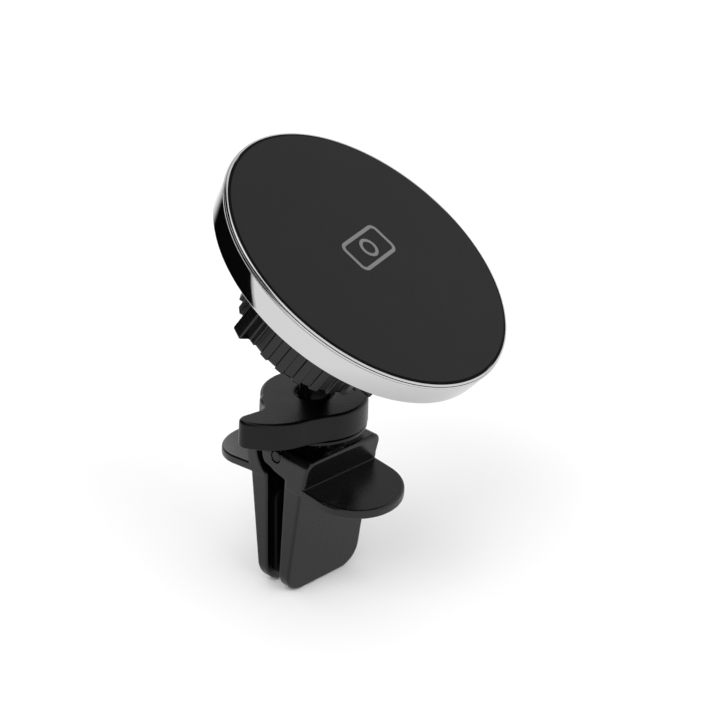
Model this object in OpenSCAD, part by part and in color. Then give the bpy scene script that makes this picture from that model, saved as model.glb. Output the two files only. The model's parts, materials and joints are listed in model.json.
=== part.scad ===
// Magnetic phone mount for a car's air vent.
// A round magnetic head turns on a ball; a two-jaw clip under it grips a vent blade.
// Origin: middle of the blade's place between the two pads. +Z points out of the vent,
// the blade and the hinge pin run along Y, and the jaws open along X.

/* [Clip] */
// Height of the hinge pin's axis above the middle of the pads
pin_z = 18; // [17:0.5:19]
// Depth of both jaws, along the pin
jaw_depth = 20; // [19.6:0.1:20.4]
// Half width of the clip over the jaws' shoulders
shoulder_x = 8.9; // [8.6:0.1:9.1]
// Distance from the middle to the tip of each finger wing
wing_tip_x = 20.8; // [18:0.1:23]
// Thickness of the finger wings
wing_t = 1.85; // [1.4:0.05:2.2]
// Droop of the finger wings
wing_droop = 5.7; // [4:0.1:8]
// Length of the legs below the pin's axis
leg_len = 29.5; // [28.5:0.5:31]
// Radius of the legs' lower corners
leg_corner_r = 4.5; // [3:0.5:5]
// Thickness of the rubber pads
pad_t = 0.95; // [0.6:0.05:1.1]

/* [Hinge] */
// Radius of the hinge pin
pin_r = 1.15; // [1.1:0.01:1.2]
// Radius of each jaw's hinge barrel
barrel_r = 4.2; // [4:0.1:4.3]
// Radial clearance of a running fit
run_fit = 0.05; // [0.03:0.01:0.08]

/* [Lever knob] */
// Radius of the knob
knob_r = 10.5; // [10.2:0.05:10.7]
// Height of the knob
knob_h = 5.4; // [5.2:0.1:5.6]
// Distance from the knob's axis to the lever's tip
lever_len = 19; // [17:0.5:21]
// Travel of the pusher as the lever unlocks
pusher_lift = 1; // [0.8:0.1:1]

/* [Ball joint] */
// Radius of the ball
ball_r = 8.5; // [8.4:0.05:8.6]
// Height of the ball's centre above the hinge pin
ball_rise = 25.75; // [25.5:0.25:27]
// Radius of the ball's neck
neck_r = 2.9; // [2.6:0.1:3]
// Tilt of the head from the clip's axis
head_tilt = 33.75; // [28:0.25:36]
// Direction of the tilt, from +X towards +Y
head_turn = 17.15; // [0:0.05:40]

/* [Head] */
// Largest radius of the chrome ring, near the face
ring_r = 30.55; // [30.45:0.05:30.9]
// Radius of the chrome ring at its back edge
ring_back_r = 29.8; // [29.65:0.05:30]
// Height of the front face above the ball's centre
face_w = 18.95; // [18.9:0.05:19.2]
// Radius of the lock nut over its ribs
nut_r = 14.6; // [14.3:0.1:14.7]
// Number of grip ribs round the nut
rib_count = 24; // [18:3:30]
// Magnet segments in the ring
magnet_count = 16; // [12:2:24]

/* [Hidden] */

$fn = 96;
eps = 0.01;

// Heights above the hinge pin
top_z = 1.9;                       // flat tops of the jaws
flange_z = 4.2;                    // underside of the frame's flange
flange_t = 0.8;
flange_r = 10.35;
knob_z = flange_z + flange_t + 0.2;
hub_z = 8.8;                       // top of the frame's hub
hub_r = 4.4;
sweep_r = 5.4;                     // hollow in each jaw round the other jaw's barrel
spring_slot_y = 2.3;               // half depth of the room for the spring
spring_slot_z = 0.4;               // floor of the slot for a spring arm in each jaw
barrel_end = 5.2;                  // inner end of each barrel, along the pin
lug_x = 3.6;                       // half width of the frame's block
lug_y = 4.8;                       // half depth of the frame's block
wing_root_x = 7.7;
wing_root_z = -4.15;
leg_in_x = 2.5;                    // inner face of a leg at the pin's height
leg_in_slope = 0.035;
leg_out_x = 7.48;                  // outer face of a leg at the pin's height
leg_out_slope = 0.125;
leg_edge = 0.8;
pad_top_z = -8.9;
pad_low_z = -27.6;
pad_y = 8.2;
pad_corner_r = 2;
ball_z = pin_z + ball_rise;

// Heights along the head's axis, from the ball's centre
ring_low_w = 13.05;                // back edge of the chrome ring
ring_in_r = 28.7;                  // bore of the ring, round the rear housing
shelf_w = 15.8;                    // ledge in the ring, under the magnet carrier
carrier_w = 15.9;
carrier_t = 1.65;
pad_disc_t = 1.2;
nut_low_w = -4.7;
nut_high_w = 8.6;
thread_r = 12.2;
liner_r = ball_r + 0.66;           // outside of the two liners round the ball
flange_w = 9.2;                    // underside of the socket cup's flange
magnet_in_r = 21.3;
magnet_out_r = 27.2;

// Points on an arc, from angle a0 to angle a1
function arc(x, z, r, a0, a1, n = 8) =
    [for (i = [0 : n]) [x + r * cos(a0 + (a1 - a0) * i / n), z + r * sin(a0 + (a1 - a0) * i / n)]];

// Faces of a leg at height z above the pin
function leg_in(z) = leg_in_x + leg_in_slope * z;
function leg_out(z) = leg_out_x + leg_out_slope * z;

// Plan of a wing: straight sides and half an ellipse
wing_c = 11.85;
function wing_plan() = concat(
    [[wing_root_x - 2.5, jaw_depth / 2], [wing_root_x - 2.5, -jaw_depth / 2]],
    [for (i = [0 : 32]) let (a = -90 + 180 * i / 32)
        [wing_c + (wing_tip_x - wing_c) * cos(a), jaw_depth / 2 * sin(a)]]);

module along_y(y0, y1) {
    translate([0, y1, 0]) rotate([90, 0, 0]) linear_extrude(y1 - y0) children();
}

module pin_bore(r, y0, y1) {
    translate([0, y1, 0]) rotate([90, 0, 0]) cylinder(r = r, h = y1 - y0);
}

// Places a child on the head's axis, with the ball's centre as its origin
module on_head() {
    translate([0, 0, ball_z]) rotate([0, 0, head_turn]) rotate([0, head_tilt, 0]) children();
}

// Front outline of a jaw's shoulder and leg
module jaw_outline() {
    polygon(concat(
        arc(shoulder_x - 0.95, top_z - 0.8, 0.8, 0, 90),
        [[0, top_z], [0, -3.5], [leg_in(-4.1), -4.1]],
        [[leg_in(-leg_len + 0.4), -leg_len + 0.4], [leg_in(-leg_len) + 0.4, -leg_len]],
        arc(leg_out(-leg_len) - leg_edge, -leg_len + leg_edge, leg_edge, -90, 0),
        [[leg_out(-6), -6], [leg_out(-6) + 0.3, wing_root_z - 1], [wing_root_x, wing_root_z]]));
}

// Side outline of a jaw, with its round lower corners
module jaw_side() {
    h = jaw_depth / 2;
    r = leg_corner_r;
    polygon(concat([[h, top_z + 1], [-h, top_z + 1]],
        arc(-h + r, -leg_len + r, r, 180, 270),
        arc(h - r, -leg_len + r, r, 270, 360)));
}

module jaw() {
    h = jaw_depth / 2;
    difference() {
        union() {
            intersection() {
                along_y(-h, h) jaw_outline();
                rotate([90, 0, 90]) linear_extrude(shoulder_x + 1) jaw_side();
            }
            intersection() {
                pin_bore(barrel_r, -h, -barrel_end);
                along_y(-h, 0)
                    polygon([[-barrel_r, top_z], [-barrel_r, -2.4], [2.3, -4.1], [barrel_r, top_z]]);
            }
            translate([wing_root_x, 0, wing_root_z]) rotate([0, wing_droop, 0])
                translate([-wing_root_x, 0, -wing_t]) linear_extrude(wing_t) polygon(wing_plan());
        }
        pin_bore(pin_r + run_fit, -h - 1, h + 1);
        pin_bore(sweep_r, -barrel_end, h + 1);
        translate([0, -spring_slot_y, spring_slot_z]) cube([spring_arm + 0.7, 2 * spring_slot_y, 3]);
    }
}

// Raised pad that lines a leg's inner face
module jaw_pad() {
    lean = atan(leg_in_slope);
    mid_z = (pad_top_z + pad_low_z) / 2;
    w = 2 * (pad_y - pad_corner_r);
    l = pad_top_z - pad_low_z - 2 * pad_corner_r;
    translate([leg_in(mid_z), 0, mid_z]) rotate([0, lean, 0]) rotate([0, -90, 0])
        linear_extrude(pad_t) {
            square([l, w + 2 * pad_corner_r], center = true);
            square([l + 2 * pad_corner_r, w], center = true);
            for (sx = [-1, 1], sy = [-1, 1])
                translate([sx * l / 2, sy * w / 2]) circle(pad_corner_r, $fn = 32);
        }
}

module jaw_right() {
    color([0.07, 0.07, 0.075]) translate([0, 0, pin_z]) jaw();
}

module jaw_left() {
    color([0.075, 0.075, 0.08]) translate([0, 0, pin_z]) rotate([0, 0, 180]) jaw();
}

module pad_right() {
    color([0.03, 0.03, 0.03]) translate([0, 0, pin_z]) jaw_pad();
}

module pad_left() {
    color([0.03, 0.03, 0.03]) translate([0, 0, pin_z]) rotate([0, 0, 180]) jaw_pad();
}

module hinge_pin() {
    color([0.3, 0.3, 0.32]) translate([0, 0, pin_z])
        pin_bore(pin_r, -jaw_depth / 2 + 0.1, jaw_depth / 2 - 0.1);
}

// Coil round the pin, with an arm out to each jaw; swept as one wire
spring_turns = 4;
spring_wire_r = 0.33;
spring_coil_r = 1.75;
spring_pitch = 0.85;
spring_arm = 6.3;
spring_steps = 20;                 // rings of the sweep in each turn
spring_sides = 8;

// Each entry is a point on the wire and the direction outwards from the coil there
function spring_path() =
    let (half = spring_turns * spring_pitch / 2, n = spring_turns * spring_steps)
    concat(
        [[[spring_arm, -half, spring_coil_r], [0, 0, 1]]],
        [for (i = [0 : n]) let (a = -360 * i / spring_steps, y = -half + spring_pitch * i / spring_steps)
            [[spring_coil_r * sin(a), y, spring_coil_r * cos(a)], [sin(a), 0, cos(a)]]],
        [[[-spring_arm, half, spring_coil_r], [0, 0, 1]]]);

module torsion_spring() {
    path = spring_path();
    rings = len(path);
    points = [for (p = path, k = [0 : spring_sides - 1]) let (b = 360 * k / spring_sides)
        p[0] + spring_wire_r * (cos(b) * p[1] + sin(b) * [0, 1, 0])];
    sides = [for (i = [0 : rings - 2], k = [0 : spring_sides - 1])
        let (a = i * spring_sides + k, b = i * spring_sides + (k + 1) % spring_sides)
        [a, b, b + spring_sides, a + spring_sides]];
    first = [for (k = [spring_sides - 1 : -1 : 0]) k];
    last = [for (k = [0 : spring_sides - 1]) (rings - 1) * spring_sides + k];
    color([0.75, 0.75, 0.78]) translate([0, 0, pin_z])
        polyhedron(points, concat(sides, [first, last]), convexity = 8);
}

// Flange, hub and pin lugs that carry the whole clip
module clip_frame() {
    slot_x = 6.7;
    color([0.09, 0.09, 0.095]) translate([0, 0, pin_z]) difference() {
        union() {
            translate([0, 0, flange_z]) cylinder(r = flange_r, h = flange_t);
            translate([0, 0, flange_z]) cylinder(r = hub_r, h = hub_z - flange_z);
            translate([-lug_x, -lug_y, 0]) cube([2 * lug_x, 2 * lug_y, flange_z + eps]);
            pin_bore(lug_x, -lug_y, lug_y);
        }
        pin_bore(pin_r, -lug_y - 1, lug_y + 1);
        translate([-5, -spring_slot_y, -5]) cube([10, 2 * spring_slot_y, 7.3]);
        translate([0, 0, 2.9]) cylinder(r = 2.5, h = hub_z);
        for (side = [-1, 1])
            translate([side * slot_x - 1.3, -2.2, flange_z - 1]) cube([2.6, 4.4, flange_t + 2]);
    }
}

// Wavy spring washer that lifts the pusher
module wave_washer() {
    color([0.7, 0.7, 0.72]) translate([0, 0, pin_z + flange_z + flange_t + 0.05]) difference() {
        cylinder(r = 5.6, h = 0.3);
        translate([0, 0, -1]) cylinder(r = hub_r + 0.2, h = 3);
    }
}

// Ring on the hub, with two feet through the flange and two followers for the cam
pusher_z = 5.55;
pusher_t = 0.8;
follower_r = 7.4;
module pusher() {
    foot_low = flange_z - 0.9;
    color([0.85, 0.85, 0.83]) translate([0, 0, pin_z]) {
        difference() {
            translate([0, 0, pusher_z]) cylinder(r = 8.7, h = pusher_t);
            cylinder(r = hub_r + run_fit, h = 20);
        }
        for (side = [0, 180]) rotate([0, 0, side]) {
            translate([5.65, -2, foot_low]) cube([2.1, 4, pusher_z - foot_low]);
            translate([0, 0, pusher_z + pusher_t - eps]) rotate([0, 0, -8])
                rotate_extrude(angle = 16) translate([follower_r - 1.1, 0]) square([2.2, 0.9]);
        }
    }
}

// Outline of the knob with its comma-shaped lever
lever_tip_r = 2.05;
module knob_plan() {
    tip = [-0.1, -lever_len + lever_tip_r];
    circle(knob_r);
    polygon(concat(
        [[0, 0], [-knob_r * cos(64), -knob_r * sin(64)]],
        arc(-5.6, -13.4, 3.9, 62, 0, 8),
        arc(tip[0], tip[1], lever_tip_r, 170, 297, 12),
        arc(-4.94, -7.39, 12.76, -61, -5, 10),
        [[knob_r * cos(25), -knob_r * sin(25)]]));
}

module knob_lever() {
    ceiling_z = knob_z + 4.1;
    ledge_z = hub_z + 0.1;
    color([0.1, 0.1, 0.105]) translate([0, 0, pin_z]) difference() {
        translate([0, 0, knob_z]) linear_extrude(knob_h) knob_plan();
        difference() {
            translate([0, 0, knob_z - 1]) cylinder(r = 9.2, h = ceiling_z - knob_z + 1);
            translate([0, 0, 7.6]) cylinder(r = 5.6, h = 5);
        }
        translate([0, 0, knob_z - 1]) cylinder(r = hub_r + run_fit, h = ledge_z - knob_z + 1);
        translate([0, 0, knob_z]) cylinder(r = neck_r + 0.15, h = knob_h + 1);
        translate([0, 0, ledge_z + 0.8]) cylinder(r = 3.95, h = knob_h);
    }
}

// Stepped ramps under the knob's ceiling that press on the pusher's followers
cam_step = 10;
module cam_ring() {
    base_z = knob_z + 3.15;
    color([0.8, 0.8, 0.78]) translate([0, 0, pin_z]) {
        difference() {
            translate([0, 0, base_z]) cylinder(r = 9.15, h = 0.9);
            translate([0, 0, base_z - 1]) cylinder(r = 5.7, h = 3);
        }
        for (side = [0, 180], i = [0 : 7]) {
            span = 16 + cam_step * i;
            depth = pusher_lift * (1.05 - span / 90);
            rotate([0, 0, side + 8]) mirror([0, 1, 0]) translate([0, 0, base_z - depth])
                rotate_extrude(angle = span) translate([follower_r - 1, 0]) square([2, depth + eps]);
        }
    }
}

// Ball, neck, the collar that holds the knob down, and the end that screws into the frame
module ball_stem() {
    collar_z = hub_z + 0.1 + 0.8 + 0.1;
    color([0.16, 0.16, 0.17]) translate([0, 0, pin_z]) {
        translate([0, 0, ball_rise]) sphere(ball_r);
        translate([0, 0, collar_z]) cylinder(r = 3.45, h = 0.25);
        translate([0, 0, collar_z + 0.25]) cylinder(r1 = 3.35, r2 = neck_r, h = 2);
        translate([0, 0, hub_z]) cylinder(r = neck_r, h = ball_rise - hub_z);
        translate([0, 0, 3]) cylinder(r = 2.48, h = hub_z - 3 + eps);
    }
}

// Shell of a ball socket between two heights on the head's axis
module ball_shell(r_in, r_out, w0, w1) {
    intersection() {
        difference() {
            sphere(r_out);
            sphere(r_in);
        }
        translate([0, 0, w0]) cylinder(r = r_out + 1, h = w1 - w0);
    }
}

// Low-friction cup behind the ball
module ball_seat() {
    color([0.8, 0.8, 0.76]) on_head() ball_shell(ball_r + 0.06, liner_r, 7.4, 9.4);
}

// Low-friction band round the ball's middle
module swivel_ring() {
    color([0.76, 0.76, 0.72]) on_head() ball_shell(ball_r + 0.06, liner_r, 0.6, 4.9);
}

// Slotted cup that clips over the ball; the nut squeezes its fingers
module socket_cup() {
    color([0.12, 0.12, 0.125]) on_head() difference() {
        union() {
            translate([0, 0, -3.5]) cylinder(r = thread_r - 1.2, h = flange_w + 3.5);
            translate([0, 0, -0.5]) cylinder(r = thread_r, h = flange_w - 0.5);
            translate([0, 0, flange_w]) cylinder(r = 15.2, h = 1.2);
        }
        sphere(ball_r + 0.06);
        intersection() {
            sphere(liner_r + 0.06);
            translate([0, 0, 0.4]) cylinder(r = thread_r, h = flange_w + 2);
        }
        for (i = [0 : 5]) rotate([0, 0, i * 60 + 30])
            translate([0, -0.5, -5]) cube([thread_r + 1, 1, 9]);
        for (i = [0 : 2]) rotate([0, 0, i * 120])
            translate([13.4, 0, flange_w - 1]) cylinder(r = 0.75, h = 4, $fn = 32);
    }
}

// Screws through the housing's floor into the cup's flange
module socket_screws() {
    color([0.7, 0.7, 0.72]) on_head() for (i = [0 : 2]) rotate([0, 0, i * 120])
        translate([13.4, 0, flange_w + 0.1]) {
            cylinder(r = 0.73, h = 2.4, $fn = 32);
            translate([0, 0, 2.35]) difference() {
                cylinder(r = 1.4, h = 0.9, $fn = 32);
                translate([-0.9, -0.15, 0.5]) cube([1.8, 0.3, 1]);
                translate([-0.15, -0.9, 0.5]) cube([0.3, 1.8, 1]);
            }
        }
}

// Ribbed nut with three finger lugs and a flared mouth
rib_h = 0.55;
lug_r = 17.1;
lug_turn = 242;
module lock_nut() {
    core_r = nut_r - rib_h;
    h = nut_high_w - nut_low_w;
    pitch = 360 / rib_count;
    color([0.08, 0.08, 0.085]) on_head() difference() {
        union() {
            rotate_extrude() polygon(concat([[7, nut_high_w], [7, nut_low_w]],
                arc(core_r - 0.9, nut_low_w + 0.9, 0.9, -90, 0),
                [[core_r + 0.5, nut_high_w - 0.6], [core_r, nut_high_w]]));
            for (i = [0 : rib_count - 1]) rotate([0, 0, lug_turn + (i + 0.5) * pitch])
                translate([core_r - 1, -0.95, nut_low_w + 0.5]) cube([rib_h + 1, 1.9, h - 1.2]);
            for (i = [0 : 2]) rotate([0, 0, lug_turn + 120 * i])
                translate([core_r - 1, -1.45, nut_low_w + 0.3]) cube([lug_r - core_r + 1, 2.9, h - 1.3]);
        }
        translate([0, 0, -1]) cylinder(r = thread_r + 0.06, h = 20);
        translate([0, 0, nut_low_w - 1]) cylinder(r = 8.4, h = 10);
        translate([0, 0, nut_low_w - eps]) cylinder(r1 = 11, r2 = 8.4, h = 1.1);
        translate([0, 0, -3.7]) cylinder(r = thread_r - 1.14, h = 5);
    }
}

// Thin spring washer between the nut and the socket's flange
module nut_washer() {
    color([0.6, 0.6, 0.62]) on_head() translate([0, 0, nut_high_w + 0.15]) difference() {
        cylinder(r = 13.4, h = 0.3);
        translate([0, 0, -1]) cylinder(r = thread_r + 0.1, h = 3);
    }
}

screw_ring_r = 18.6;
module rear_housing() {
    floor_w = flange_w + 1.2;
    color([0.1, 0.1, 0.105]) on_head() difference() {
        union() {
            rotate_extrude() polygon(concat(
                [[0, floor_w], [15.6, floor_w], [15.6, flange_w], [16.2, flange_w - 0.3], [17.2, flange_w],
                 [24, 11], [28.9, 12.62], [28.9, ring_low_w - 0.08], [ring_in_r - 0.15, ring_low_w - 0.08],
                 [ring_in_r - 0.15, shelf_w], [27.7, shelf_w], [27.5, 13.6], [23.4, 12.4], [17, 11.6],
                 [0, 11.6]]));
            for (i = [0 : 3]) rotate([0, 0, 45 + 90 * i])
                translate([screw_ring_r, 0, 11.5]) cylinder(r = 1.9, h = carrier_w - 11.6, $fn = 32);
        }
        for (i = [0 : 2]) rotate([0, 0, i * 120])
            translate([13.4, 0, flange_w]) cylinder(r = 0.75, h = 4, $fn = 32);
        for (i = [0 : 3]) rotate([0, 0, 45 + 90 * i])
            translate([screw_ring_r, 0, 12.2]) cylinder(r = 0.85, h = 6, $fn = 32);
    }
}

module housing_screws() {
    color([0.7, 0.7, 0.72]) on_head() for (i = [0 : 3]) rotate([0, 0, 45 + 90 * i])
        translate([screw_ring_r, 0, 12.6]) {
            cylinder(r = 0.83, h = carrier_w - 12, $fn = 32);
            translate([0, 0, carrier_w + 0.6 - 12.6]) difference() {
                cylinder(r = 1.5, h = 0.75, $fn = 32);
                translate([-0.9, -0.15, 0.4]) cube([1.8, 0.3, 1]);
                translate([-0.15, -0.9, 0.4]) cube([0.3, 1.8, 1]);
            }
        }
}

module magnet_carrier() {
    color([0.2, 0.2, 0.2]) on_head() difference() {
        translate([0, 0, carrier_w]) cylinder(r = 29.2, h = carrier_t);
        translate([0, 0, carrier_w + 0.3]) difference() {
            cylinder(r = magnet_out_r + 0.15, h = 3);
            translate([0, 0, -1]) cylinder(r = magnet_in_r - 0.15, h = 6);
        }
        for (i = [0 : 3]) rotate([0, 0, 45 + 90 * i])
            translate([screw_ring_r, 0, carrier_w]) {
                translate([0, 0, -1]) cylinder(r = 0.9, h = 4, $fn = 32);
                translate([0, 0, 0.55]) cylinder(r = 1.65, h = 3, $fn = 32);
            }
    }
}

// Steel ring that closes the magnets' field behind them
module shunt_ring() {
    color([0.55, 0.55, 0.57]) on_head() translate([0, 0, carrier_w + 0.32]) difference() {
        cylinder(r = magnet_out_r, h = 0.4);
        translate([0, 0, -1]) cylinder(r = magnet_in_r, h = 3);
    }
}

module magnet_segments() {
    pitch = 360 / magnet_count;
    gap = 1.2;
    color([0.75, 0.75, 0.78]) on_head() for (i = [0 : magnet_count - 1])
        rotate([0, 0, i * pitch + gap / 2]) translate([0, 0, carrier_w + 0.74])
            rotate_extrude(angle = pitch - gap) translate([magnet_in_r, 0])
                square([magnet_out_r - magnet_in_r, 0.85]);
}

// Chrome ring, clamped between the rear housing's lip and the magnet carrier:
// front lip, fine groove, bead, second groove and a plain band that tapers to the back
module bezel_ring() {
    lip_r = ring_r - 0.2;
    groove_r = lip_r - 0.08;
    color([0.85, 0.86, 0.88]) on_head() rotate_extrude($fn = 180) polygon([
        [29.88, 17.6], [29.88, face_w - 0.3], [29.96, face_w - 0.14], [30.15, face_w - 0.14],
        [lip_r, face_w - 0.32], [lip_r, face_w - 0.38], [groove_r, face_w - 0.42],
        [groove_r, face_w - 0.48], [lip_r + 0.08, face_w - 0.52], [lip_r + 0.14, face_w - 0.85],
        [lip_r + 0.06, face_w - 0.89], [lip_r + 0.06, face_w - 0.94], [ring_r, face_w - 1],
        [ring_back_r, ring_low_w + 0.2], [ring_back_r - 0.2, ring_low_w], [ring_in_r, ring_low_w],
        [ring_in_r, shelf_w], [29.4, shelf_w], [29.4, 17.6]]);
}

module adhesive_disc() {
    color([0.9, 0.9, 0.88]) on_head() translate([0, 0, carrier_w + carrier_t + 0.02])
        cylinder(r = 29.2, h = 0.14);
}

// Soft face that the phone rests on, with a rolled edge
module face_plate() {
    r = 29.83;
    roll = 0.43;
    color([0.13, 0.13, 0.135]) on_head() rotate_extrude($fn = 180) polygon(concat(
        [[0, face_w - pad_disc_t], [r, face_w - pad_disc_t]],
        arc(r - roll, face_w - roll, roll, 0, 90),
        [[0, face_w]]));
}

jaw_right();
jaw_left();
pad_right();
pad_left();
hinge_pin();
torsion_spring();
clip_frame();
wave_washer();
pusher();
knob_lever();
cam_ring();
ball_stem();
ball_seat();
swivel_ring();
socket_cup();
socket_screws();
lock_nut();
nut_washer();
rear_housing();
housing_screws();
magnet_carrier();
shunt_ring();
magnet_segments();
bezel_ring();
adhesive_disc();
face_plate();
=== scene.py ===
"""Looks of a magnetic car phone mount: detailed meshes, materials, studio and camera."""

import json
import math

import bpy
import numpy as np
from mathutils import Matrix, Vector


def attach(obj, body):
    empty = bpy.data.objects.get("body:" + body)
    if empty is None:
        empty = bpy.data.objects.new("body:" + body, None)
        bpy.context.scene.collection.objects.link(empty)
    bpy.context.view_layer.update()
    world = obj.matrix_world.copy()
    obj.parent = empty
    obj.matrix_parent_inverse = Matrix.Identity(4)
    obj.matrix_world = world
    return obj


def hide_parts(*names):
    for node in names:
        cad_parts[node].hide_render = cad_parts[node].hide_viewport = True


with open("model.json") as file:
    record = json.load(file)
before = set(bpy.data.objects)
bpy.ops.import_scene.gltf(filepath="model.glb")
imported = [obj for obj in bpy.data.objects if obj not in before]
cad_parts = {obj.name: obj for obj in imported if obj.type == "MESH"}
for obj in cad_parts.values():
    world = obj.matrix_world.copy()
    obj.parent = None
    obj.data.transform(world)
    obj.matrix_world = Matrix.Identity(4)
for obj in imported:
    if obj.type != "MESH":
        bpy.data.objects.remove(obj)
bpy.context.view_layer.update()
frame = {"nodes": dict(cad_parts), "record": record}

MM = 0.001

# ---------------------------------------------------------------- shared sizes, in mm
PIN_Z = 18.0                      # height of the hinge pin above the origin
JAW_HALF = 10.0                   # half depth of a jaw, along the pin
JAW_TOP = 1.9                     # flat top of a jaw above the pin
LEG_LEN = 29.5
BALL_RISE = 25.75
HEAD_TILT, HEAD_TURN = 33.75, 17.15
FACE_W = 18.95                    # front face above the ball's centre, along the head's axis
RING_R = 30.5
KNOB_Z, KNOB_TOP, KNOB_R = 5.2, 10.6, 10.48
KNOB_HOLE_R, RECESS_R = 3.05, 3.95   # hole round the neck, and the recess over it
FLANGE_Z, FLANGE_T, FLANGE_R = 4.2, 0.8, 10.35
HUB_TOP, HUB_R = 8.8, 4.4
BALL_R, NECK_R = 8.5, 2.9

CLIP = Matrix.Translation((0, 0, PIN_Z * MM)) @ Matrix.Scale(MM, 4)
HEAD = (Matrix.Translation((0, 0, (PIN_Z + BALL_RISE) * MM))
        @ Matrix.Rotation(math.radians(HEAD_TURN), 4, "Z")
        @ Matrix.Rotation(math.radians(HEAD_TILT), 4, "Y")
        @ Matrix.Scale(MM, 4))


# ---------------------------------------------------------------- mesh helpers
def new_object(name, points, faces, place):
    """A mesh object from points in mm, placed in the row frame."""
    m = np.array(place)
    world = np.asarray(points, float) @ m[:3, :3].T + m[:3, 3]
    mesh = bpy.data.meshes.new(name)
    mesh.from_pydata(world.tolist(), [], [list(map(int, f)) for f in faces])
    mesh.update()
    mesh.polygons.foreach_set("use_smooth", [True] * len(mesh.polygons))
    obj = bpy.data.objects.new(name, mesh)
    bpy.context.scene.collection.objects.link(obj)
    return obj


def arc_points(cx, cy, r, a0, a1, n):
    return [(cx + r * math.cos(math.radians(a0 + (a1 - a0) * i / n)),
             cy + r * math.sin(math.radians(a0 + (a1 - a0) * i / n))) for i in range(n + 1)]


def rounded(corners, n=6):
    """Outline through corners (x, y, radius), each rounded by its radius; closed."""
    out = []
    count = len(corners)
    for i, (x, y, r) in enumerate(corners):
        p = Vector((x, y))
        before = Vector(corners[i - 1][:2]) - p
        after = Vector(corners[(i + 1) % count][:2]) - p
        if r <= 0:
            out.append((x, y))
            continue
        u, v = before.normalized(), after.normalized()
        half = math.acos(max(-1.0, min(1.0, u.dot(v)))) / 2
        if half > math.radians(89):
            out.append((x, y))
            continue
        reach = min(r / math.tan(half), 0.49 * before.length, 0.49 * after.length)
        radius = reach * math.tan(half)
        centre = p + (u + v).normalized() * (radius / math.sin(half))
        start, end = p + u * reach - centre, p + v * reach - centre
        a0 = math.atan2(start.y, start.x)
        turn = math.atan2(end.y, end.x) - a0
        turn = (turn + math.pi) % (2 * math.pi) - math.pi
        out += [(centre.x + radius * math.cos(a0 + turn * k / n),
                 centre.y + radius * math.sin(a0 + turn * k / n)) for k in range(n + 1)]
    return out


def lathe(name, outline, place, steps=240, angle=35):
    """Revolves a closed outline of (radius, height) points, in mm."""
    rows, points = [], []
    for r, w in outline:
        if r < 1e-6:
            rows.append([len(points)] * steps)
            points.append((0, 0, w))
        else:
            rows.append(list(range(len(points), len(points) + steps)))
            points += [(r * math.cos(2 * math.pi * k / steps),
                        r * math.sin(2 * math.pi * k / steps), w) for k in range(steps)]
    faces = []
    for a, b in zip(rows, rows[1:] + rows[:1]):
        if a[0] == a[1] and b[0] == b[1]:
            continue
        for k in range(steps):
            ring = [a[k], a[(k + 1) % steps], b[(k + 1) % steps], b[k]]
            faces.append(list(dict.fromkeys(ring)))
    obj = new_object(name, points, faces, place)
    obj.data.set_sharp_from_angle(angle=math.radians(angle))
    return obj


# ---------------------------------------------------------------- rounded solids from distance fields
def both(a, b, r=0.0):
    """Space inside a and b, its edge rounded by r."""
    if r <= 0:
        return np.maximum(a, b)
    return (np.minimum(np.maximum(a, b), -r)
            + np.hypot(np.maximum(a + r, 0), np.maximum(b + r, 0)))


def either(a, b, r=0.0):
    """Space inside a or b, its inner corner filled by r."""
    return -both(-a, -b, r)


def less(a, b, r=0.0):
    """Space inside a and outside b, its edge rounded by r."""
    return both(a, -b, r)


def round_box(u, v, half_u, half_v, r):
    """Signed distance to a rectangle about the origin, with corners of radius r."""
    qu, qv = np.abs(u) - (half_u - r), np.abs(v) - (half_v - r)
    return np.hypot(np.maximum(qu, 0), np.maximum(qv, 0)) + np.minimum(np.maximum(qu, qv), 0) - r


def outline_field(px, py, pts):
    """Signed distance to a closed outline, negative inside."""
    nearest, inside = None, False
    for (ax, ay), (bx, by) in zip(pts, list(pts[1:]) + [pts[0]]):
        ex, ey = bx - ax, by - ay
        length = ex * ex + ey * ey
        if length < 1e-12:
            continue
        wx, wy = px - ax, py - ay
        t = np.clip((wx * ex + wy * ey) / length, 0, 1)
        d = (wx - t * ex) ** 2 + (wy - t * ey) ** 2
        nearest = d if nearest is None else np.minimum(nearest, d)
        if ey:
            inside = inside ^ (((ay > py) != (by > py)) & (px < ax + wy * ex / ey))
    return np.where(inside, -1.0, 1.0) * np.sqrt(nearest)


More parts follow.
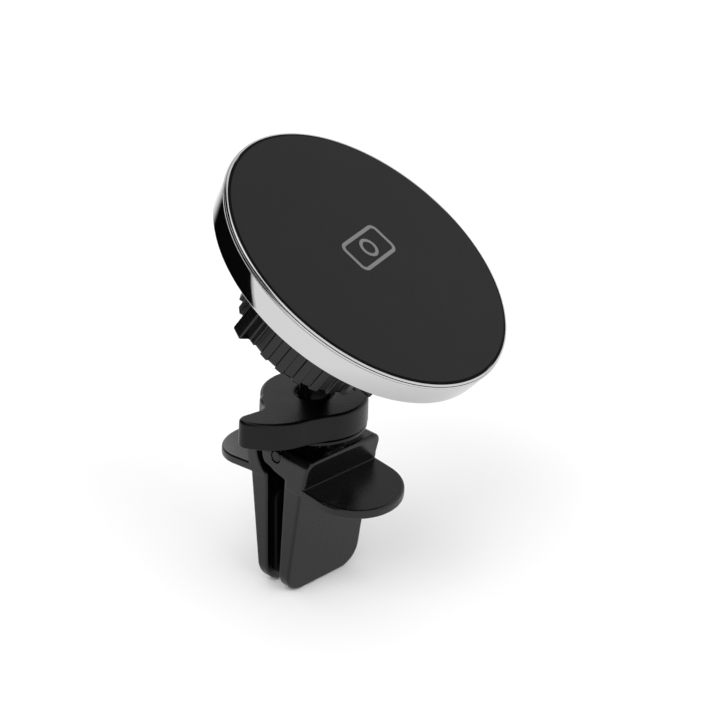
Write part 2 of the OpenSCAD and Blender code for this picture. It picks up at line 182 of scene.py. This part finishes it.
def skin(field, low, high, cell):
    """Closed mesh of the surface where field is zero, with one point in each crossed cell."""
    low, high = np.array(low, float), np.array(high, float)
    axes = [np.arange(low[i], high[i] + cell, cell) for i in range(3)]
    shape = tuple(len(a) for a in axes)
    grid = np.broadcast_to(field(axes[0][:, None, None], axes[1][None, :, None], axes[2][None, None, :]),
                           shape).astype(np.float32)
    solid = grid < 0
    count = np.zeros(tuple(n - 1 for n in shape), np.int8)
    for i in (0, 1):
        for j in (0, 1):
            for k in (0, 1):
                count += solid[i:shape[0] - 1 + i, j:shape[1] - 1 + j, k:shape[2] - 1 + k]
    cells = np.argwhere((count > 0) & (count < 8))
    index = np.full(count.shape, -1, np.int64)
    index[tuple(cells.T)] = np.arange(len(cells))
    total, hits = np.zeros((len(cells), 3)), np.zeros(len(cells))
    for axis in range(3):
        step = np.eye(3, dtype=int)[axis]
        others = [i for i in range(3) if i != axis]
        for u in (0, 1):
            for v in (0, 1):
                offset = np.zeros(3, int)
                offset[others] = u, v
                a, b = cells + offset, cells + offset + step
                fa, fb = grid[tuple(a.T)], grid[tuple(b.T)]
                cross = (fa < 0) != (fb < 0)
                t = (fa / np.where(fa == fb, 1, fa - fb))[cross]
                total[cross] += offset + t[:, None] * step
                hits[cross] += 1
    points = low + cell * (cells + total / hits[:, None])
    tiny = 1e-3
    for _ in range(4):
        x, y, z = points.T
        f = field(x, y, z)
        slope = np.stack([field(x + tiny, y, z) - field(x - tiny, y, z),
                          field(x, y + tiny, z) - field(x, y - tiny, z),
                          field(x, y, z + tiny) - field(x, y, z - tiny)], 1) / (2 * tiny)
        size = np.maximum((slope ** 2).sum(1), 0.2)
        move = -(f / size)[:, None] * slope
        far = np.linalg.norm(move, axis=1, keepdims=True)
        points += move * np.minimum(1, 0.4 * cell / np.maximum(far, 1e-9))
    faces = []
    for axis in range(3):
        one, two = (axis + 1) % 3, (axis + 2) % 3
        first = np.take(solid, range(shape[axis] - 1), axis)
        second = np.take(solid, range(1, shape[axis]), axis)
        edges = np.argwhere(first != second)
        keep = ((edges[:, one] > 0) & (edges[:, one] < shape[one] - 1)
                & (edges[:, two] > 0) & (edges[:, two] < shape[two] - 1))
        edges = edges[keep]
        out = first[tuple(edges.T)]
        e1, e2 = np.eye(3, dtype=int)[one], np.eye(3, dtype=int)[two]
        quad = np.stack([index[tuple((edges - e1 - e2).T)], index[tuple((edges - e2).T)],
                         index[tuple(edges.T)], index[tuple((edges - e1).T)]], 1)
        quad[~out] = quad[~out][:, ::-1]
        faces.append(quad)
    return points, np.concatenate(faces)


def solid_object(name, field, low, high, cell, place):
    points, faces = skin(field, low, high, cell)
    return new_object(name, points, faces, place)


# ---------------------------------------------------------------- jaws
def leg_in(z):
    return 2.5 + 0.035 * z


def leg_out(z):
    return 7.48 + 0.125 * z


WING_ROOT = (7.7, -4.15)
WING_TIP, WING_MID = 20.73, 11.85
WING_T = 1.85
WING_SLOPE = math.tan(math.radians(5.7))
SWEEP_R = 5.4                     # hollow round the other jaw's barrel
BARREL_R = 4.2
BARREL_END = 5.2
SLOT_X, SLOT_Y, SLOT_Z = 7.0, 2.3, 0.4   # room for a spring arm
FOOT_R = 4.5                      # lower corners of a leg, seen from the side
LEG_TOP = -3.0                    # the leg's outline runs up into the shoulder
LEG_INSET = 0.09                  # step back from the shoulder's front to the leg's
SHOULDER_ROUND, EDGE_ROUND = 2.0, 0.8
WING_FILLET = 0.04
PIN_BORE = 1.3


def jaw_field(x, y, z):
    front = outline_field(x, z, [
        (-1, 6), (9.7, 6), (9.05, 1.9), (WING_ROOT[0], WING_ROOT[1]), (leg_out(-5.4), -5.4),
        (leg_out(-LEG_LEN), -LEG_LEN), (-1, -LEG_LEN)])
    notch = both(x - leg_in(z), z + 4.1 + 0.26 * (x - 2.2), 0.0)
    body = less(front, notch, 0.25)
    barrel = both(np.hypot(x, z) - BARREL_R, -(z + 3.5 + 0.26 * x), 0.5)
    barrel = both(barrel, y + BARREL_END, 0.25)
    body = either(body, barrel, 0.15)

    def side(half):
        return round_box(y, z - 5, half, LEG_LEN + 5, FOOT_R)

    wing_top = WING_ROOT[1] - WING_SLOPE * (x - WING_ROOT[0])
    upper = both(body, both(side(JAW_HALF), z - JAW_TOP, SHOULDER_ROUND), EDGE_ROUND)
    upper = both(upper, wing_top - WING_T - z, 0.1)
    lower = both(both(body, side(JAW_HALF - LEG_INSET), 0.45), z - LEG_TOP)
    body = either(lower, upper)
    plan = outline_field(x, y, [(5.2, JAW_HALF), (5.2, -JAW_HALF)] + [
        (WING_MID + (WING_TIP - WING_MID) * math.cos(a), JAW_HALF * math.sin(a))
        for a in [math.pi * (i / 36 - 0.5) for i in range(37)]])
    slab = np.abs(z - wing_top + WING_T / 2) * math.cos(math.atan(WING_SLOPE)) - WING_T / 2
    wing = both(plan, slab, 0.42)
    body = either(body, wing, WING_FILLET)
    body = less(body, both(np.hypot(x, z) - SWEEP_R, -BARREL_END - y), 0.2)
    slot = both(both(x - SLOT_X, np.abs(y) - SLOT_Y, 0.2), SLOT_Z - z, 0.2)
    body = less(body, both(slot, z - 8), 0.2)
    return less(body, np.hypot(x, z) - PIN_BORE, 0.08)


PAD_TOP, PAD_LOW, PAD_Y, PAD_R, PAD_T = -8.9, -27.6, 8.2, 2.0, 0.95


def pad_field(x, y, z):
    plan = round_box(y, z - (PAD_TOP + PAD_LOW) / 2, PAD_Y, (PAD_TOP - PAD_LOW) / 2, PAD_R)
    depth = leg_in(z) - x
    return both(both(plan, depth - PAD_T, 0.35), -depth - 0.02)


def turned(points):
    return points * np.array([-1, -1, 1])


jaw_points, jaw_faces = skin(jaw_field, (-4.7, -10.4, -29.9), (20.9, 10.4, 2.3), 0.21)
pad_points, pad_faces = skin(pad_field, (0.3, -8.6, -28), (2.7, 8.6, -8.5), 0.16)
pieces = {}
for name, side_points, pad_side in (("jaw_right", jaw_points, pad_points),
                                    ("jaw_left", turned(jaw_points), turned(pad_points))):
    pieces[name] = new_object(name + "_shell", side_points, jaw_faces, CLIP)
    pieces[name].data.set_sharp_from_angle(angle=math.radians(55))
    pad = name.replace("jaw", "pad")
    pieces[pad] = new_object(pad + "_rubber", pad_side, pad_faces, CLIP)


# ---------------------------------------------------------------- knob with its lever
# Far side, tip and near side of the comma-shaped lever, as arcs
LEVER_OUTLINE = (
    [(0, 0), (-4.55, -9.35)] + arc_points(-5.6, -13.4, 3.9, 62, 0, 10)
    + arc_points(-0.1, -16.95, 2.05, 170, 297, 14)
    + arc_points(-4.94, -7.39, 12.76, -61, 10, 20))


def knob_field(x, y, z):
    r = np.hypot(x, y)
    plan = either(r - KNOB_R, outline_field(x, y, LEVER_OUTLINE), 2.0)
    draft = 0.018 * (z - KNOB_Z)
    body = both(plan + draft, z - KNOB_TOP, 0.6)
    body = both(body, KNOB_Z - z, 0.3)
    hollow = less(both(r - 9.2, z - 9.3, 0.3), both(r - 5.6, 7.6 - z, 0.2))
    body = less(body, hollow, 0.15)
    body = less(body, both(r - HUB_R - 0.05, z - HUB_TOP - 0.1), 0.1)
    body = less(body, r - KNOB_HOLE_R, 0.1)
    return less(body, both(r - RECESS_R, 9.7 - z), 0.28)


pieces["knob_lever"] = solid_object(
    "knob_body", knob_field, (-10.9, -19.5, 4.8), (10.9, 10.9, 11), 0.15, CLIP)


# ---------------------------------------------------------------- clip frame
def frame_field(x, y, z):
    r = np.hypot(x, y)
    flange = both(both(r - FLANGE_R, z - FLANGE_Z - FLANGE_T, 0.2), FLANGE_Z - z, 0.2)
    hub = both(both(r - HUB_R, z - HUB_TOP, 0.25), FLANGE_Z - z)
    block = both(both(np.abs(x) - 3.6, np.abs(y) - 4.8, 0.3), np.abs(z - 2.25) - 2.25)
    lug = both(np.hypot(x, z) - 3.6, np.abs(y) - 4.8, 0.3)
    body = either(either(flange, hub, 0.3), either(block, lug), 0.3)
    body = less(body, np.hypot(x, z) - 1.18, 0.1)
    body = less(body, both(np.abs(y) - 2.3, z - 2.3), 0.2)
    body = less(body, both(r - 2.52, 2.9 - z), 0.1)
    slots = both(both(np.abs(np.abs(x) - 6.7) - 1.3, np.abs(y) - 2.2, 0.2), np.abs(z - 4.6) - 2)
    return less(body, slots, 0.1)


pieces["clip_frame"] = solid_object(
    "clip_carrier", frame_field, (-11.3, -11.3, -4), (11.3, 11.3, 9.2), 0.17, CLIP)


# ---------------------------------------------------------------- ball, pin
# Screwed end, collar, neck with its flare into the ball, and the ball
ball = [(0, 3), (2.3, 3), (2.48, 3.2), (2.48, 8.82), (NECK_R, 8.84), (NECK_R, 9.78)]
ball += rounded([(NECK_R, 9.8, 0), (3.45, 9.8, 0.08), (3.42, 10.05, 0.1), (3.3, 10.12, 0)], 4)[1:]
ball += [(3.2, 10.5), (3.08, 11.0), (2.97, 11.7), (2.92, 12.4), (NECK_R, 13.2)]
ball += [(NECK_R, 16.9), (2.94, 17.35), (3.08, 17.7)]
neck_meet = -math.degrees(math.asin(math.sqrt(BALL_R ** 2 - 3.3 ** 2) / BALL_R))
ball += arc_points(0, BALL_RISE, BALL_R, neck_meet, 90, 48)
ball[-1] = (0, ball[-1][1])
pieces["ball_stem"] = lathe("ball_on_stem", ball[::-1], CLIP, 160, 40)

PIN_PLACE = CLIP @ Matrix.Rotation(math.radians(90), 4, "X")
pin_end = JAW_HALF - 0.1
pieces["hinge_pin"] = lathe("pivot_pin", rounded([
    (0, -pin_end, 0), (1.15, -pin_end, 0.2), (1.15, pin_end, 0.2), (0, pin_end, 0)])[::-1],
    PIN_PLACE, 64)


# ---------------------------------------------------------------- lock nut
NUT_LOW, NUT_HIGH = -4.7, 8.6
NUT_R, RIB_H, RIBS = 14.6, 0.55, 24
LUGS, LUG_R = 3, 17.1
LUG_TURN = math.radians(242)


def nut_field(x, y, z):
    r = np.hypot(x, y)
    turn = np.arctan2(y, x) - LUG_TURN

    def repeat(count, shift):
        pitch = 2 * math.pi / count
        a = (turn + shift * pitch) % pitch - pitch / 2
        return r * np.sin(a), r * np.cos(a)

    core = both(r - (NUT_R - RIB_H), NUT_LOW - z, 0.9)
    core = both(core, z - NUT_HIGH, 0.2)
    across, out = repeat(RIBS, 0.0)
    rib = both(both(np.abs(across) - 0.92, out - NUT_R, 0.16), NUT_LOW + 0.3 - z, 0.35)
    rib = both(rib, z - NUT_HIGH + 0.7, 0.2)
    across, out = repeat(LUGS, 0.5)
    lug = both(both(np.abs(across) - 1.45, out - LUG_R, 0.35), NUT_LOW + 0.3 - z, 0.6)
    lug = both(lug, z - NUT_HIGH + 0.7, 0.3)
    body = either(core, both(rib, 12.5 - r), 0.12)
    body = either(body, both(lug, 12.5 - r), 0.3)
    bore = np.where(z > -1, r - 12.26, r - 11.06)
    body = less(body, both(bore, -3.7 - z), 0.15)
    return less(body, r - np.clip(8.4 + (NUT_LOW + 1.1 - z) * 2.36, 8.4, 11.4), 0.15)


pieces["lock_nut"] = solid_object("grip_nut", nut_field, (-17.4, -17.4, -5), (17.4, 17.4, 8.9), 0.17, HEAD)


# ---------------------------------------------------------------- head shell, ring and face
RING_BACK_R, RING_BACK_W = 29.78, 13.07
RING_BORE, SHELF_W = 28.7, 15.8
pieces["rear_housing"] = lathe("back_shell", rounded([
    (0, 10.4, 0), (15.6, 10.4, 0), (15.6, 9.2, 0), (16.2, 8.9, 0.15), (17.2, 9.2, 0.8), (24, 11.0, 6),
    (28.85, 12.63, 0.12), (28.85, RING_BACK_W - 0.08, 0.1), (RING_BORE - 0.15, RING_BACK_W - 0.08, 0),
    (RING_BORE - 0.15, SHELF_W, 0), (27.7, SHELF_W, 0), (27.5, 13.6, 0), (23.4, 12.4, 0), (17, 11.6, 0),
    (0, 11.6, 0)]), HEAD)
LIP_R = RING_R - 0.2
pieces["bezel_ring"] = lathe("chrome_ring", rounded([
    (29.88, 17.6, 0), (29.88, FACE_W - 0.3, 0.05), (29.96, FACE_W - 0.14, 0.06),
    (30.15, FACE_W - 0.14, 0.12), (LIP_R, FACE_W - 0.32, 0.08), (LIP_R, FACE_W - 0.38, 0.04),
    (LIP_R - 0.1, FACE_W - 0.42, 0.02), (LIP_R - 0.1, FACE_W - 0.5, 0.02),
    (LIP_R + 0.08, FACE_W - 0.54, 0.06), (LIP_R + 0.14, FACE_W - 0.83, 0.05),
    (LIP_R + 0.06, FACE_W - 0.87, 0.02), (LIP_R + 0.06, FACE_W - 0.94, 0.02),
    (RING_R, FACE_W - 1.0, 0.1), (RING_BACK_R, RING_BACK_W, 0.2), (RING_BORE, RING_BACK_W, 0.1),
    (RING_BORE, SHELF_W, 0), (29.4, SHELF_W, 0), (29.4, 17.6, 0)], 5), HEAD, 360, 60)
FACE_R, FACE_ROLL = 29.83, 0.43
face = lathe("soft_face", [(0, FACE_W - 1.2), (FACE_R, FACE_W - 1.2)]
             + arc_points(FACE_R - FACE_ROLL, FACE_W - FACE_ROLL, FACE_ROLL, 0, 90, 10)
             + [(r, FACE_W) for r in (28, 24, 18, 12, 6)] + [(0, FACE_W)], HEAD, 300)
pieces["face_plate"] = face


# ---------------------------------------------------------------- materials
def noise(t, scale, detail=2.0, rough=0.5, vector=None):
    n = t.nodes.new("ShaderNodeTexNoise")
    n.inputs["Scale"].default_value = scale
    n.inputs["Detail"].default_value = detail
    n.inputs["Roughness"].default_value = rough
    t.links.new(vector, n.inputs["Vector"])
    return n.outputs["Fac"]


def remap(t, value, a, b, c, d):
    n = t.nodes.new("ShaderNodeMapRange")
    for key, number in zip(("From Min", "From Max", "To Min", "To Max"), (a, b, c, d)):
        n.inputs[key].default_value = number
    t.links.new(value, n.inputs["Value"])
    return n.outputs["Result"]


def combine(t, kind, a, b):
    n = t.nodes.new("ShaderNodeMath")
    n.operation = kind
    for socket, value in zip(n.inputs, (a, b)):
        if isinstance(value, (int, float)):
            socket.default_value = value
        else:
            t.links.new(value, socket)
    return n.outputs["Value"]


def ramp(t, value, stops):
    n = t.nodes.new("ShaderNodeValToRGB")
    while len(n.color_ramp.elements) < len(stops):
        n.color_ramp.elements.new(0.5)
    for e, (at, colour) in zip(n.color_ramp.elements, stops):
        e.position, e.color = at, (*colour, 1)
    t.links.new(value, n.inputs["Fac"])
    return n.outputs["Color"]


def base_material(name):
    m = bpy.data.materials.new(name)
    m.use_nodes = True
    t = m.node_tree
    coords = t.nodes.new("ShaderNodeTexCoord").outputs["Object"]
    return m, t, t.nodes["Principled BSDF"], coords


def bumps(t, shader, heights):
    """Bump from (height, strength, distance) layers, one on top of the other."""
    normal = None
    for height, strength, distance in heights:
        n = t.nodes.new("ShaderNodeBump")
        n.inputs["Strength"].default_value = strength
        n.inputs["Distance"].default_value = distance
        t.links.new(height, n.inputs["Height"])
        if normal:
            t.links.new(normal, n.inputs["Normal"])
        normal = n.outputs["Normal"]
    t.links.new(normal, shader.inputs["Normal"])


def grey(v, tint=(1, 1, 1)):
    return tuple(v * c for c in tint)


GRAIN_DEPTH = 0.000018            # metres


def moulded(name, dark, light, rough, grain=3600.0, strength=0.8, wear=0.3, specular=0.5,
            tint=(1, 1, 1.02)):
    """Moulded plastic with spark-eroded grain, slow colour drift and polished edges."""
    m, t, s, co = base_material(name)
    drift = noise(t, 180, 3, 0.55, co)
    fine = noise(t, grain, 3, 0.6, co)
    coarse = noise(t, grain * 0.37, 2, 0.5, co)
    mix = combine(t, "ADD", combine(t, "MULTIPLY", drift, 0.6), combine(t, "MULTIPLY", fine, 0.4))
    colour = ramp(t, mix, [(0.3, grey(dark, tint)), (0.7, grey(light, tint))])
    curve = t.nodes.new("ShaderNodeNewGeometry").outputs["Pointiness"]
    edge = remap(t, curve, 0.515, 0.56, 0, wear)
    blend = t.nodes.new("ShaderNodeMix")
    blend.data_type = "RGBA"
    t.links.new(edge, blend.inputs["Factor"])
    t.links.new(colour, blend.inputs["A"])
    blend.inputs["B"].default_value = (*grey(light * 1.9, tint), 1)
    t.links.new(blend.outputs["Result"], s.inputs["Base Color"])
    base = remap(t, combine(t, "ADD", fine, drift), 0.7, 1.3, rough - 0.05, rough + 0.06)
    t.links.new(combine(t, "SUBTRACT", base, combine(t, "MULTIPLY", edge, 0.28)), s.inputs["Roughness"])
    s.inputs["Specular IOR Level"].default_value = specular
    bumps(t, s, [(coarse, strength * 0.6, GRAIN_DEPTH * 2), (fine, strength, GRAIN_DEPTH)])
    return m


def rubber(name, dark, light, rough, specular, grain=2600.0, depth=0.000015):
    """Soft or printed surface with a fine matt grain."""
    m, t, s, co = base_material(name)
    fine = noise(t, grain, 4, 0.65, co)
    drift = noise(t, 120, 3, 0.5, co)
    mix = combine(t, "ADD", combine(t, "MULTIPLY", drift, 0.5), combine(t, "MULTIPLY", fine, 0.5))
    colour = ramp(t, mix, [(0.32, grey(dark)), (0.68, grey(light))])
    t.links.new(colour, s.inputs["Base Color"])
    t.links.new(remap(t, fine, 0.3, 0.7, rough - 0.04, rough + 0.05), s.inputs["Roughness"])
    s.inputs["Specular IOR Level"].default_value = specular
    bumps(t, s, [(fine, 0.3, depth)])
    return m


def metal(name, low, high, rough, tint=(1, 1, 1.01), scratch=0.15):
    """Plated or polished metal with faint cloudiness and hairline marks."""
    m, t, s, co = base_material(name)
    s.inputs["Metallic"].default_value = 1.0
    cloud = noise(t, 90, 3, 0.55, co)
    stretch = t.nodes.new("ShaderNodeMapping")
    stretch.inputs["Scale"].default_value = (1, 6, 0.6)
    t.links.new(co, stretch.inputs["Vector"])
    hair = noise(t, 900, 4, 0.7, stretch.outputs["Vector"])
    t.links.new(ramp(t, cloud, [(0.3, grey(low, tint)), (0.7, grey(high, tint))]), s.inputs["Base Color"])
    t.links.new(remap(t, hair, 0.35, 0.75, rough, rough + 0.05), s.inputs["Roughness"])
    bumps(t, s, [(hair, scratch, 0.000003)])
    return m


MATERIALS = {
    "jaw_plastic": moulded("Jaw plastic", 0.0007, 0.0014, 0.25, specular=0.66),
    "pad_rubber": rubber("Pad rubber", 0.0016, 0.0028, 0.5, 0.15),
    "pin_steel": metal("Blackened pin steel", 0.05, 0.07, 0.4),
    "spring_steel": metal("Spring steel", 0.42, 0.5, 0.28),
    "frame_plastic": moulded("Frame plastic", 0.0009, 0.0016, 0.28, specular=0.45),
    "slide_plastic": moulded("Slide plastic", 0.5, 0.56, 0.4, wear=0.05, tint=(1, 0.99, 0.95)),
    "knob_plastic": moulded("Knob plastic", 0.0007, 0.0014, 0.28, grain=4200, specular=0.36),
    "ball_plastic": moulded("Ball plastic", 0.001, 0.0016, 0.18, specular=0.26, grain=5200,
                            strength=0.12, wear=0.1),
    "liner_plastic": moulded("Liner plastic", 0.55, 0.62, 0.35, wear=0.05, tint=(1, 0.98, 0.93)),
    "socket_plastic": moulded("Socket plastic", 0.003, 0.005, 0.34),
    "screw_steel": metal("Zinc-plated steel", 0.5, 0.6, 0.3),
    "nut_plastic": moulded("Nut plastic", 0.001, 0.002, 0.28, grain=3900, specular=0.66),
    "housing_plastic": moulded("Housing plastic", 0.003, 0.005, 0.3),
    "carrier_plastic": moulded("Carrier plastic", 0.05, 0.06, 0.5),
    "shunt_steel": metal("Shunt steel", 0.4, 0.48, 0.35),
    "magnet_plating": metal("Magnet plating", 0.55, 0.62, 0.2, tint=(1, 0.97, 0.92)),
    "bezel_chrome": metal("Bright chrome", 0.88, 0.91, 0.03, scratch=0.02),
    # painted shade: a dark metal in the chrome's two grooves stands in for the shade that falls in them
    "painted_groove_shade": metal("Painted shade in the chrome grooves", 0.03, 0.05, 0.25),
    "adhesive_film": rubber("Adhesive film", 0.6, 0.68, 0.45, 0.5),
    "face_soft": rubber("Soft face", 0.0085, 0.0101, 0.5, 0.2, grain=3000, depth=0.000006),
    "face_rim": rubber("Face rim", 0.003, 0.005, 0.5, 0.03, grain=3000, depth=0.000004),
    "mark_ink": rubber("Mark ink", 0.14, 0.165, 0.5, 0.3, grain=2500, depth=0.000003),
}


# ---------------------------------------------------------------- generic mark on the face
def strip_prism(rings_out, rings_in, w0, w1):
    """A flat closed band between two outlines of equal length, from w0 to w1."""
    n = len(rings_out)
    points = [(x, y, w) for w in (w0, w1) for ring in (rings_out, rings_in) for x, y in ring]
    faces = []
    for k in range(n):
        j = (k + 1) % n
        a, b, c, d = k, j, n + j, n + k
        e, f, g, h = (i + 2 * n for i in (a, b, c, d))
        faces += [(a, d, c, b), (e, f, g, h), (a, b, f, e), (d, h, g, c)]
    return points, faces


def face_mark():
    """A plain phone outline with a ring in it, printed on the face."""
    length, width, corner, line = 13.0, 7.0, 1.6, 0.75

    def box_ring(inset):
        hx, hy, r = length / 2 - inset, width / 2 - inset, max(corner - inset, 0.2)
        return rounded([(hx, -hy, r), (hx, hy, r), (-hx, hy, r), (-hx, -hy, r)], 8)

    def round_ring(r):
        return [(r * math.cos(2 * math.pi * k / 48), r * math.sin(2 * math.pi * k / 48)) for k in range(48)]

    points, faces = [], []
    for band in ((box_ring(0), box_ring(line)), (round_ring(2.1), round_ring(1.4))):
        p, f = strip_prism(*band, FACE_W - 0.004, FACE_W + 0.006)
        faces += [tuple(i + len(points) for i in q) for q in f]
        points += p
    spot = Matrix.Translation((*MARK_AT, 0)) @ Matrix.Rotation(math.radians(90), 4, "Z")
    return new_object("generic_mark", points, faces, HEAD @ spot)


MARK_AT = (-1.3, 1.2)
mark = face_mark()
mark.data.polygons.foreach_set("use_smooth", [False] * len(mark.data.polygons))
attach(mark, "head")
mark.data.materials.append(MATERIALS["mark_ink"])

# ---------------------------------------------------------------- bodies, slots, finishes and painted shade in the chrome's grooves
record = frame["record"]
bodies = record["behaviour"]["bodies"]
body_of = {n: b for b, members in bodies.items() for n in members}
slot_of = {part["node"]: part["material_slot"] for part in record["subparts"]}
for node, obj in pieces.items():
    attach(obj, body_of[node])
    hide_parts(node)
    obj.data.materials.append(MATERIALS[slot_of[node]])
head_inverse = HEAD.inverted()


def second_finish_and_painted_shade(obj, slot, where):
    """Gives another finish to the polygons whose radius and height on the head's axis pass the test: the
    face's darker rim, and the painted shade in the chrome's grooves.
    """
    obj.data.materials.append(MATERIALS[slot])
    for polygon in obj.data.polygons:
        spot = head_inverse @ polygon.center
        if where(math.hypot(spot.x, spot.y), spot.z):
            polygon.material_index = 1


second_finish_and_painted_shade(face, "face_rim", lambda r, w: r > FACE_R - FACE_ROLL)
# painted shade in the chrome ring's two grooves
second_finish_and_painted_shade(pieces["bezel_ring"], "painted_groove_shade",
              lambda r, w: r > LIP_R - 0.15 and (0.39 < FACE_W - w < 0.52 or 0.86 < FACE_W - w < 0.95))
for node, obj in frame["nodes"].items():
    if node not in pieces:
        obj.data.materials.clear()
        obj.data.materials.append(MATERIALS[slot_of[node]])

# ---------------------------------------------------------------- studio
scene = bpy.context.scene
scene.view_settings.view_transform = "Standard"
scene.view_settings.look = "None"

FLOOR_Z = (PIN_Z - LEG_LEN - 0.05) * MM
FLOOR_HALF = 6.0
floor = new_object("floor", [(-1, -1, 0), (1, -1, 0), (1, 1, 0), (-1, 1, 0)], [(0, 1, 2, 3)],
                   Matrix.Translation((0, 0, FLOOR_Z)) @ Matrix.Scale(FLOOR_HALF, 4))
floor_mat, ft, fs, fco = base_material("Pale floor")
paper = ramp(ft, noise(ft, 3, 2, 0.5, fco), [(0.3, grey(0.88)), (0.7, grey(0.9))])
ft.links.new(paper, fs.inputs["Base Color"])
fs.inputs["Roughness"].default_value = 0.9
fs.inputs["Specular IOR Level"].default_value = 0.1
floor.data.materials.append(floor_mat)

world = bpy.data.worlds.new("Studio")
scene.world = world
world.use_nodes = True
world.node_tree.nodes["Background"].inputs["Color"].default_value = (1, 1, 1, 1)
world.node_tree.nodes["Background"].inputs["Strength"].default_value = 0.9


def softbox(name, at, aim, size, power):
    light = bpy.data.lights.new(name, "AREA")
    light.shape = "RECTANGLE"
    light.size, light.size_y = size
    light.energy = power
    obj = bpy.data.objects.new(name, light)
    scene.collection.objects.link(obj)
    obj.location = at
    obj.rotation_mode = "QUATERNION"
    obj.rotation_quaternion = (Vector(aim) - Vector(at)).to_track_quat("-Z", "Y")
    return obj


for name, at, size, power in (("key", (0.2, -0.9, 1.1), (1.0, 0.8), 8),
                              ("fill", (1.0, 0.1, 0.9), (0.8, 0.8), 4)):
    softbox(name, at, (0, 0, 0.03), size, power).visible_glossy = False


# Painted reflections, which only glossy surfaces see: glowing arcs paint the black reflections in the
# chrome and the dark bands on rounded edges, and a glowing copy of the floor, greyer than the paper, paints
# shade close to the mount
def painted_reflection_glow(obj):
    """Makes a shape into a painted reflection: it glows and only glossy rays see it; returns its node tree
    and its emission shader.
    """
    obj.visible_camera = False
    obj.visible_diffuse = False
    obj.visible_shadow = False
    m = bpy.data.materials.new(obj.name + "_finish")
    m.use_nodes = True
    t = m.node_tree
    t.nodes.clear()
    glow = t.nodes.new("ShaderNodeEmission")
    t.links.new(glow.outputs["Emission"], t.nodes.new("ShaderNodeOutputMaterial").inputs["Surface"])
    obj.data.materials.append(m)
    return t, glow


def painted_reflection_arc(name, radius, low, high, start, end, centre, stops):
    """A painted reflection: an upright glowing arc of a cylinder, sizes in mm and degrees, with brightness
    stops from start to end; its dark stops paint black reflections.
    """
    steps = 60
    angles = [math.radians(start + (end - start) * i / steps) for i in range(steps + 1)]
    points = [(radius * math.cos(a), radius * math.sin(a), z) for z in (low, high) for a in angles]
    n = len(angles)
    obj = new_object(name, points, [(i, i + 1, i + 1 + n, i + n) for i in range(steps)],
                     Matrix.Translation((centre[0] * MM, centre[1] * MM, FLOOR_Z)) @ Matrix.Scale(MM, 4))
    t, glow = painted_reflection_glow(obj)
    spin = t.nodes.new("ShaderNodeMapping")
    spin.inputs["Location"].default_value = (centre[0] * MM, centre[1] * MM, 0)
    spin.inputs["Rotation"].default_value = (0, 0, math.pi)
    t.links.new(t.nodes.new("ShaderNodeTexCoord").outputs["Object"], spin.inputs["Vector"])
    around = t.nodes.new("ShaderNodeTexGradient")
    around.gradient_type = "RADIAL"
    t.links.new(spin.outputs["Vector"], around.inputs["Vector"])
    along = remap(t, around.outputs["Fac"], start / 360, end / 360, 0, 1)
    glow.inputs["Strength"].default_value = 1.4
    t.links.new(ramp(t, along, [(at, grey(v)) for at, v in stops]), glow.inputs["Color"])
    return obj


def painted_floor_reflection():
    """A painted reflection of the floor, which glossy surfaces see in its place: greyer than the white
    paper, with painted shade darkest close to the mount.
    """
    obj = new_object("painted_floor_reflection", [(-1, -1, 0), (1, -1, 0), (1, 1, 0), (-1, 1, 0)], [(0, 1, 2, 3)],
                     Matrix.Translation((0, 0, FLOOR_Z + 0.3 * MM)) @ Matrix.Scale(FLOOR_HALF, 4))
    t, glow = painted_reflection_glow(obj)
    away = t.nodes.new("ShaderNodeVectorMath")
    away.operation = "LENGTH"
    t.links.new(t.nodes.new("ShaderNodeTexCoord").outputs["Object"], away.inputs[0])
    # painted shade: the reflected floor grows darker towards the mount
    t.links.new(remap(t, away.outputs["Value"], 0.012, 0.06, 0.45, 0.72), glow.inputs["Strength"])
    return obj


# Painted reflections: the near arc paints the black reflection on the left of the chrome ring, and the far
# ring paints grey and near-black bands all round the mount.
near_painted_reflection = painted_reflection_arc("near_painted_reflection", 60, 38, 78, 140, 262, (-18, -6), [
    (0.0, 0.95), (0.16, 0.72), (0.27, 0.36), (0.335, 0.06), (0.36, 0.001), (0.97, 0.001), (0.985, 0.35)])
far_painted_reflection = painted_reflection_arc("far_painted_reflection", 2200, 10, 3600, 0, 360, (0, 0), [
    (0.0, 0.5), (0.12, 0.5), (0.3, 0.42), (0.33, 0.24), (0.355, 0.24), (0.368, 0.42), (0.46, 0.42),
    (0.49, 0.002), (0.8, 0.002), (0.83, 0.5)])
# painted reflection of the floor, with painted shade close to the mount
painted_floor_reflection()

# ---------------------------------------------------------------- camera
CAMERA_AZIMUTH, CAMERA_ELEVATION, CAMERA_ROLL = 42.66, 25.87, 2.77
CAMERA_DISTANCE = 387.5 * MM
CAMERA_AIM = Vector((1.44, 10.83, 32.41)) * MM
az, el, roll = (math.radians(v) for v in (CAMERA_AZIMUTH, CAMERA_ELEVATION, CAMERA_ROLL))
back = Vector((math.sin(az) * math.cos(el), -math.cos(az) * math.cos(el), math.sin(el)))
level = Vector((math.cos(az), math.sin(az), 0))
rise = back.cross(level)
right = level * math.cos(roll) + rise * math.sin(roll)
above = rise * math.cos(roll) - level * math.sin(roll)
camera = bpy.data.objects.new("camera", bpy.data.cameras.new("camera"))
scene.collection.objects.link(camera)
camera.matrix_world = Matrix((
    (right.x, above.x, back.x, 0), (right.y, above.y, back.y, 0), (right.z, above.z, back.z, 0),
    (0, 0, 0, 1)))
camera.location = CAMERA_AIM + back * CAMERA_DISTANCE
camera.data.lens = 100
camera.data.sensor_width = 36
camera.data.clip_start, camera.data.clip_end = 0.01, 50
scene.camera = camera
